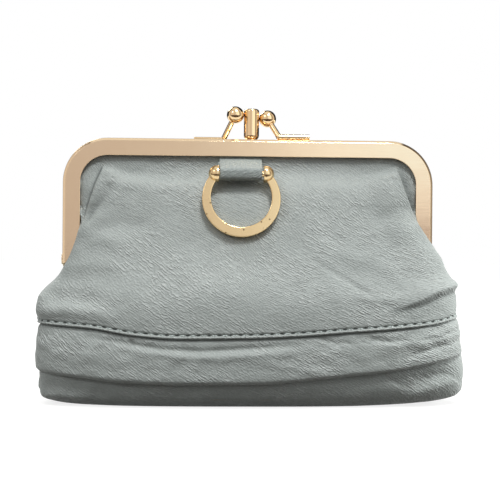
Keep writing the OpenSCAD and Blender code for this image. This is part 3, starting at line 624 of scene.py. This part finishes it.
def thread_finish():
    """Polyester thread, twisted and dyed to match: a soft shine, and slanting ridges 1 mm apart for its lay."""
    made, tree = new_material("polyester_thread")
    turned = add(tree, "Mapping", {"Vector": add(tree, "TexCoord", out="Object"), "Rotation": (0, np.radians(40), 0)})
    lay = add(tree, "TexWave", {"Vector": turned, "Scale": 1 / (3.2 * mm), "Distortion": 0.4}, out="Fac")
    return dull_finish(made, tree, lay, lay, "9AA5A1", "C4CDCA", 0.08, {"Roughness": 0.42, "Sheen Weight": 0.2})


thread = thread_finish()
for name, turn, points, seam in (
        ("front_stitches", 1, front_points, front_seam), ("back_stitches", -1, back_points, back_seam)):
    stitches = topstitching(name, turn, points, seam)
    stitches.data.materials.append(thread)
    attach(stitches, "bag")

# Frame, legs, ears and rivets
# Three channels bent from steel sheet, crimped on the edges of leather and cloth, and plated in pale gold. The ears of
# their legs turn on one rivet at each side.


def gold_plate(name, dark, light, rough, worn=False):
    """Polished steel with a thin pale gold plating: mirror-like, a little uneven where the sheet was bent and buffed,
    with hair-fine buffing lines about 0.4 mm apart, drawn coarser than they are so that they show. Sharp edges look
    rounded off by 0.35 mm. With worn, there are small dark specks where the plating is through."""
    made, tree = new_material(name)
    place = add(tree, "TexCoord", out="Object")
    slow = add(tree, "TexNoise", {"Vector": place, "Scale": 1 / (14 * mm)})
    along = add(tree, "Mapping", {"Vector": place, "Scale": (9 * mm, 0.4 * mm, 0.4 * mm)}, vector_type="TEXTURE")
    lines = add(tree, "TexNoise", {"Vector": along, "Scale": 1})
    tone = add(tree, "Mix", {0: slow, 6: dark, 7: light}, data_type="RGBA", out=2)
    roughness = add(tree, "MapRange", {"Value": lines, "To Min": rough * 0.8, "To Max": rough * 1.3})
    if worn:
        specks = add(tree, "TexVoronoi", {"Vector": place, "Scale": 1 / (2.6 * mm)})
        gone = add(tree, "MapRange", {"Value": specks, "From Min": 0.09, "From Max": 0.15, "To Min": 1, "To Max": 0})
        tone = add(tree, "Mix", {0: gone, 6: tone, 7: "6B5232"}, data_type="RGBA", out=2)
    rounded = add(tree, "Bevel", {"Radius": 0.35 * mm}, samples=6)
    uneven = add(tree, "Bump", {"Height": slow, "Distance": 0.25 * mm, "Strength": 0.25, "Normal": rounded})
    bump = add(tree, "Bump", {"Height": lines, "Distance": 0.004 * mm, "Normal": uneven})
    shader = add(tree, "BsdfPrincipled", {"Base Color": tone, "Metallic": 1, "Roughness": roughness, "Normal": bump})
    add(tree, "OutputMaterial", {"Surface": shader}, out=None)
    return made


def finish_nodes(material, *names):
    """Gives CAD nodes a material in each of their slots."""
    for name in names:
        for held in nodes[name].material_slots:
            held.material = material


frame_gold = gold_plate("gold_plated_frame_steel", "E6CBA6", "EBD2AE", 0.13)
clasp_gold = gold_plate("gold_plated_clasp_brass", "E9C99A", "EDD0A4", 0.09)
finish_nodes(frame_gold, "front_frame", "middle_frame", "back_frame", "left_rivet", "right_rivet")

# Kiss lock
# A turned brass post on the middle frame, and two balls on bent wires that are brazed on the front and the back rail.
# All are plated as the frame is, and polished brighter.
finish_nodes(clasp_gold, "centre_post", "front_clasp_arm", "front_clasp_ball", "back_clasp_arm", "back_clasp_ball")

# Ring
# A flat crescent ring, cast in zinc, tumbled until its edges are round, and plated. Half balls close its ends on the
# pin that goes through the tab's loop.
ring_gold = gold_plate("gold_plated_ring_zinc", "D8BC8C", "E1C799", 0.2, worn=True)
finish_nodes(ring_gold, "ring_ball_left", "ring_ball_right", "ring_pin")
pin_at = np.array([-3.5, -11.8466, 92.5])
ring_tilt = np.radians(12.5015)
ring_drop, ring_r, ring_hole_r, ring_hole_up, ring_t, ring_edge = 10.2718, 15.65, 12.1, 0.5, 2.2, 0.32
ring_end = np.radians(46.5)


def crescent(steps=160, corner=4):
    """The ring: a rectangle with rounded corners, from the hole's circle to the outer one, carried round the ring's
    centre from one end to the other, then hung from the pin and tilted out by the leather behind it."""
    angle = np.linspace(np.pi / 2 + ring_end, np.pi / 2 + 2 * np.pi - ring_end, steps)
    inner = ring_hole_up * np.sin(angle) + np.sqrt(ring_hole_r**2 - (ring_hole_up * np.cos(angle)) ** 2)
    bow = np.linspace(0, np.pi / 2, corner)
    arc = np.stack([np.cos(bow), np.sin(bow)], -1) * ring_edge
    arc = np.concatenate([arc[:1] - [0, 0.06], arc, arc[-1:] - [0.06, 0]])
    w, t = (ring_r - inner) / 2, ring_t / 2
    section = []
    for sx, sy, order in ((1, 1, 1), (-1, 1, -1), (-1, -1, 1), (1, -1, -1)):
        x = sx * (w[:, None] - ring_edge + arc[::order, 0])
        y = sy * (t - ring_edge + arc[::order, 1])
        section.append(np.stack([x, y + 0 * x], -1))
    section = np.concatenate(section, axis=1)
    radius = (ring_r + inner)[:, None] / 2 + section[..., 0]
    flat = np.stack([radius * np.cos(angle)[:, None], section[..., 1], radius * np.sin(angle)[:, None] - ring_drop], -1)
    c, s = np.cos(ring_tilt), np.sin(ring_tilt)
    return flat @ np.array([[1, 0, 0], [0, c, -s], [0, s, c]]) + pin_at


crescent_ring = grid_piece("crescent_ring", crescent(), wrap=True)
shape = bmesh.new()
shape.from_mesh(crescent_ring.data)
bmesh.ops.holes_fill(shape, edges=[e for e in shape.edges if e.is_boundary])
bmesh.ops.recalc_face_normals(shape, faces=shape.faces)
shape.to_mesh(crescent_ring.data)
shape.free()
crescent_ring.data.materials.append(ring_gold)
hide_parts("ring")
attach(crescent_ring, "ring")

# Tab
# A strip of the same leather, 17 mm wide and cut raw at its sides. It comes from under the rail, goes round the
# ring's pin and up again behind itself.
tab_left, tab_right, tab_t = -12.1, 4.85, 1.15
rail_y, rail_z, bend_r = 4.6, 100, 1.5
pin_y, pin_z, loop_r, lean = 11.85, 92.5, 2.5, np.radians(62.5)
tab_rows, tab_columns, tab_end = 72, 30, np.array([7.3, 97])


def tab_line(rows):
    """Side view of the tab's outer face, evenly divided, in mm from the middle of the purse and from the table: down
    behind the rail, out over a small bend (centre c, c - r(cos, sin) of the angle), straight to the loop, round the pin
    (p + r(cos^0.65, sin^0.65), flatter in front than a circle), and straight up again behind."""
    bend = np.linspace(0, lean, 12)[:, None]
    loop = np.linspace(lean, np.radians(-160), 40)[:, None]
    bend = np.array([rail_y + bend_r, rail_z]) - bend_r * np.hstack([np.cos(bend), np.sin(bend)])
    loop = np.hstack([np.cos(loop), np.sin(loop)])
    loop = np.array([pin_y, pin_z]) + loop_r * np.sign(loop) * np.abs(loop) ** 0.65
    line = np.concatenate([[[rail_y, rail_z + 1.4]], bend, loop, [tab_end]])
    run = steps_along(line, 0).cumsum()
    even = np.linspace(0, run[-1], rows)
    return np.interp(even, run, line[:, 0]), np.interp(even, run, line[:, 1]), even


tab_y, tab_z, tab_run = (values[:, None] for values in tab_line(tab_rows))
tab_share = np.linspace(0, 1, tab_columns)
behind = smooth_step((tab_run - 14) / 5)
flare = 0.6 * np.exp(-((tab_run / 3) ** 2))
tab_x = tab_left - 0.7 * behind + (tab_right + flare - tab_left) * tab_share
tab_points = np.stack([tab_x, 0 * tab_x - tab_y, tab_z + 0 * tab_x], -1)
bow = 0.3 * np.sin(np.pi * tab_share) * smooth_step((tab_run - 1.5) / 4) * (1 - behind)
tab = grid_piece("tab_leather", push_out(tab_points, -bow), flip=True)


def fibrous(name, dark, light, grain, detail=4):
    """A rough, dull face of loose or pressed fibres, grain mm apart: the cut side of the skin, board or paper."""
    made, tree = new_material(name)
    where = add(tree, "TexCoord", out="Object")
    fibres = add(tree, "TexNoise", {"Vector": where, "Scale": 1 / (grain * mm), "Detail": detail})
    return dull_finish(made, tree, fibres, fibres, dark, light, 0.1, {"Roughness": 0.9})


# Painted shade: the tab's copy of the sheepskin has darker colours, 858D8A to A0A7A4, so that its upturned face looks
# less lit than the light makes it.
tab.data.materials.append(sheepskin("sheepskin_tab_painted_shade", "858D8A", "A0A7A4", wrinkle=1.1))
tab.data.materials.append(fibrous("sheepskin_raw_edge", "B9BFB8", "DADDD6", 0.3, 3))
thicken(tab, tab_t, edge_material=1)
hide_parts("ring_tab")
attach(tab, "front_frame")

# Linings and divider
# Plain woven cotton, glued in with the leather at the frame and sewn at the base. A double cloth, stretched in the
# middle frame, makes the two pockets.


def lining_cloth(name):
    """Plain-woven cotton: threads 0.45 mm apart, over and under each other, dull, slightly uneven."""
    made, tree = new_material(name)
    skin = add(tree, "UVMap", uv_map="skin")
    scaled = add(tree, "Mapping", {"Vector": skin, "Scale": (0.9 * mm, 0.9 * mm, 1)}, vector_type="TEXTURE")
    weave = add(tree, "TexChecker", {"Vector": scaled, "Scale": 2}, out="Fac")
    slow = add(tree, "TexNoise", {"Vector": scaled, "Scale": 0.05, "Detail": 3})
    mixed = add(tree, "Math", {0: weave, 1: 0.3, 2: slow}, operation="MULTIPLY_ADD")
    return dull_finish(made, tree, mixed, weave, "A99E8A", "C8BEAC", 0.06, {"Roughness": 0.8, "Sheen Weight": 0.25})


cotton = lining_cloth("cotton_lining")
lining_shape = {
    "left": [(3.2, 76), (8, 80.6), (28, 80.8), (38, 81.6), (42.5, 81.2), (46, 79), (50.8, 74), (54, 70), (57, 67),
             (96, 66.6), (99, 65.6), (102, 62)],
    "right": [(3.2, 76), (8, 81), (28, 81), (38, 81), (44, 80.6), (48, 79.4), (51, 76.6), (54, 71), (57, 67),
              (96, 66.6), (99, 65.6), (102, 62)],
    "edge": [(3, 1.2), (50, 1.2), (55, 2.2), (62, 2.8), (102, 2.7)],
    "middle": [(3.2, 19.5), (8, 21.8), (30, 22), (38, 22.6), (43, 22.2), (48, 20.8), (54, 18), (58, 16), (62, 14.2),
               (67, 11.7), (75, 9), (80, 7.8), (84, 6.9), (88, 5.8), (91, 4.7), (94, 3.6), (97, 2.95), (102, 2.8)],
    "fixed_in": [(3, 1), (102, 1)],
    "fixed_y": [(3, 0.9), (50, 0.9), (55, 1.9), (62, 2.5), (102, 2.4)],
    "round": [(3, 3), (40, 3), (54, 2.7), (66, 2.8), (80, 3.6), (102, 4.5)],
    "flat": [(3, 3), (40, 3), (54, 2.3), (66, 1.7), (80, 1.25), (102, 1.1)],
}
lining_rows, floor_rows, lining_t = 90, 14, 0.4
floor_z, floor_end = 3.2, 1.2


def cut_to(points):
    """The cloth's flat cut in metres, (width, length) and area: its longest lines across and up, and its surface."""
    across, up = np.diff(points, axis=1)[:-1], np.diff(points, axis=0)[:, :-1]
    area = np.linalg.norm(np.cross(across, up), axis=2).sum() * mm**2
    return [steps_along(points, 1).sum(1).max() * mm, steps_along(points, 0).sum(0).max() * mm], area


def lining(name, turn, seed):
    """The outer cloth of one pocket, and its floor, which runs from the wall's lowest line to the divider."""
    points = level_lines(raised(table_line, floor_z), raised(table_line, 101.8), 1, lining_rows, lining_shape)
    x, z = points[..., 0], points[..., 2]
    free = smooth_step((95 - z) / 12) * smooth_step((z - 3) / 6)
    points = push_out(points, (soft_waves(x, z, seed, 22, 0.5) - 0.5) * free)
    share = np.linspace(0, 1, floor_rows, endpoint=False)[:, None]
    floor = points[:1] * np.ones((floor_rows, 1, 1))
    floor[..., 1] = -floor_end + (floor[..., 1] + floor_end) * share
    points = np.concatenate([floor, points]) * [1, turn, 1]
    return thicken(grid_piece(name, points, flip=turn < 0), lining_t), points


for name, turn, seed, solid, body in (
        ("front_lining_cloth", 1, 51, "front_lining", "front_frame"),
        ("back_lining_cloth", -1, 53, "back_lining", "back_frame")):
    cloth, points = lining(name, turn, seed)
    flat, area = cut_to(points)
    cloth.data.materials.append(cotton)
    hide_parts(solid)
    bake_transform(cloth)

divider_half = [(3.2, 78), (8, 81), (30, 81.2), (44, 80), (50, 76), (53, 70.6), (92, 70.6), (97, 69.6), (101, 66.4),
                (103.4, 61), (104.2, 56)]
divider_rows, divider_columns, divider_t = 90, 120, 1.3
divider_z = floor_z + 101 * np.linspace(0, 1, divider_rows)[:, None]
divider_x = through(divider_half, divider_z) * np.linspace(-1, 1, divider_columns)
divider_wave = soft_waves(divider_x, divider_z, 61, 40, 0.12) * smooth_step((95 - divider_z) / 15)
divider_points = np.stack([divider_x, divider_wave - divider_t / 2, divider_z + 0 * divider_x], -1)
divider_cloth = thicken(grid_piece("divider_cloth", divider_points), divider_t)
divider_cloth.data.materials.append(cotton)
flat, area = cut_to(divider_points)
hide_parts("divider")
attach(divider_cloth, "bag")

# Base board and paper cords
# Grey board, cut to the base and laid inside it, stiffens the purse. Cords of twisted kraft paper hold leather and
# cloth in the channels. Both are hidden.
board_t, board_top = 1.5, 3.1
board_points = base_points[1:-1, 4:-4] * [0.95, 0.93, 0] + [0, 0, board_top]
board = thicken(grid_piece("board_sheet", board_points, flip=True), board_t)
board.data.materials.append(fibrous("grey_board", "7A6C57", "9A8A70", 1.5))
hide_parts("base_board")
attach(board, "bag")
kraft_paper = fibrous("twisted_kraft_paper", "B9A27C", "D4C19D", 0.8)
finish_nodes(kraft_paper, "front_paper_cord", "middle_paper_cord", "back_paper_cord")

# Table and light
# A white studio with soft light from above, a little more of it from the right. Only the metal sees the painted screens
# round the table, pinkish to the left of the camera and bluish to its right, and the dark cloth in front of the purse.
table_half = 4000


def level_sheet(name, half, near, far, up=0):
    """A flat level rectangle, in mm: half wide to each side, between two places in depth, at a height."""
    return grid_piece(name, np.array([[[-half, y, up], [half, y, up]] for y in (near, far)]))


def seen(tree):
    """1 for a ray from the camera, off a shiny face or through a clear one, and 0 for a ray that only brings light."""
    path = add(tree, "LightPath", out=None)
    shown = add(tree, "Math", {0: path["Is Camera Ray"], 1: path["Is Glossy Ray"]}, operation="MAXIMUM")
    return add(tree, "Math", {0: shown, 1: path["Is Transmission Ray"]}, operation="MAXIMUM")


table = level_sheet("table", table_half, -table_half, table_half)
white_table, tree = new_material("white_paper_table")
bounce = add(tree, "BsdfDiffuse", {"Color": "3E3935"})
paper = add(tree, "BsdfDiffuse", {"Color": "8E8E8C"})
glow = add(tree, "Emission", {"Color": "FFFFFF", "Strength": 0.8})
pale = add(tree, "AddShader", {0: paper, 1: glow})
add(tree, "OutputMaterial", {"Surface": add(tree, "MixShader", {0: seen(tree), 1: bounce, 2: pale})}, out=None)
table.data.materials.append(white_table)

screen_r, screen_top = 1200, 2400
round_table = np.radians(np.linspace(-180, 180, 181))
screen_points = np.stack([np.sin(round_table), -np.cos(round_table), 0 * round_table], -1) * screen_r
screens = grid_piece("screens", np.stack([screen_points, screen_points + [0, 0, screen_top]]))
screen_paper, tree = new_material("painted_screens")
place = add(tree, "SeparateXYZ", {0: add(tree, "UVMap", uv_map="skin")}, out=None)
part = add(tree, "MapRange", {"Value": place[0], "From Max": 2 * np.pi * screen_r * mm})
stops = [(-180, 0.02, 0.02, 0.02), (-104, 0.03, 0.03, 0.03), (-98, 0.9, 0.86, 0.86), (-82, 0.95, 0.9, 0.9),
         (-74, 0.3, 0.25, 0.25), (-62, 0.85, 0.8, 0.78), (-25, 0.9, 0.84, 0.83), (-11, 0.68, 0.64, 0.67),
         (0, 0.79, 0.77, 0.8), (4, 0.97, 0.97, 1.02), (7.5, 1.22, 1.3, 1.42), (11.5, 1.03, 1, 1.12),
         (18, 1.2, 1.22, 1.25), (30, 1.5, 1.53, 1.56), (46, 1.5, 1.5, 1.5), (56, 0.5, 0.47, 0.45),
         (72, 0.35, 0.3, 0.28), (80, 0.95, 0.93, 0.9), (97, 0.85, 0.8, 0.76), (103, 0.03, 0.03, 0.03),
         (180, 0.02, 0.02, 0.02)]
low_stops = [(12.6, 1.05, 1.02, 1.12), (13.4, 0.25, 0.14, 0.16), (16, 0.2, 0.1, 0.12), (18, 1.2, 1.22, 1.25)]
high_stops = [(7.5, 1.22, 1.3, 1.42), (9.5, 1.2, 1.3, 1.43), (11.5, 1.15, 1.31, 1.48), (12.8, 1.19, 1.4, 1.6),
              (14, 1.2, 1.5, 1.8), (16, 1.2, 1.5, 1.8)]
tone = None
for changed, start, end in (([], 0, 0), (low_stops, 0.104, 0.094), (high_stops, 0.145, 0.185)):
    kept = [stop for stop in stops if not changed or not changed[0][0] <= stop[0] <= changed[-1][0]]
    shade = add(tree, "ValToRGB", {"Fac": part})
    ramp = shade.node.color_ramp.elements
    for k, (turn, *rgb) in enumerate(sorted(kept + changed)):
        stop = ramp[k] if k < 2 else ramp.new(0.5 + turn / 360)
        stop.position, stop.color = 0.5 + turn / 360, (*rgb, 1)
    if changed:
        share = add(tree, "MapRange", {"Value": place[1], "From Min": start, "From Max": end},
                    interpolation_type="SMOOTHSTEP")
        shade = add(tree, "Mix", {0: share, 6: tone, 7: shade}, data_type="RGBA", out=2)
    tone = shade
add(tree, "OutputMaterial", {"Surface": add(tree, "Emission", {"Color": tone})}, out=None)
screens.data.materials.append(screen_paper)
cloth = level_sheet("dark_cloth", 900, -1150, -150, 4)
dark_cloth, tree = new_material("dark_cotton_cloth")
add(tree, "OutputMaterial", {"Surface": add(tree, "Emission", {"Color": "5A4A40"})}, out=None)
cloth.data.materials.append(dark_cloth)
for card in (screens, cloth):
    card.visible_camera = card.visible_diffuse = card.visible_shadow = False

world = bpy.data.worlds.new("studio")
scene.world = world
world.use_nodes = True
tree = world.node_tree
tree.nodes.clear()
up = add(tree, "SeparateXYZ", {0: add(tree, "TexCoord", out="Generated")}, out="Z")
dome = add(tree, "MapRange", {"Value": up, "From Min": -0.1, "From Max": 0.9, "To Min": 0.04})
light = add(tree, "Background", {"Color": "FFFFFF", "Strength": dome})
white = add(tree, "Background", {"Color": "FFFFFF"})
add(tree, "OutputWorld", {"Surface": add(tree, "MixShader", {0: seen(tree), 1: light, 2: white})}, out=None)

# Four soft lamps turned to the purse. The one at the right doesn't show in the metal.
lit_point = np.array([0, 0, 0.05])
for name, at, size, power in (
        ("key", (0.18, -0.55, 1), 0.25, 8), ("right_fill", (1.2, 0.15, 0.35), 0.5, 18),
        ("left_fill", (-0.9, -0.8, 0.8), 0.5, 3.5), ("back_fill", (-0.5, 0.9, 0.8), 0.6, 6)):
    lamp = bpy.data.objects.new(name, bpy.data.lights.new(name, "AREA"))
    lamp.data.shape, lamp.data.size, lamp.data.energy = "DISK", size, power
    scene.collection.objects.link(lamp)
    lamp.matrix_world = turned_to(np.array(at), lit_point)
    lamp.visible_glossy = name != "right_fill"

scene.view_settings.view_transform = "Standard"
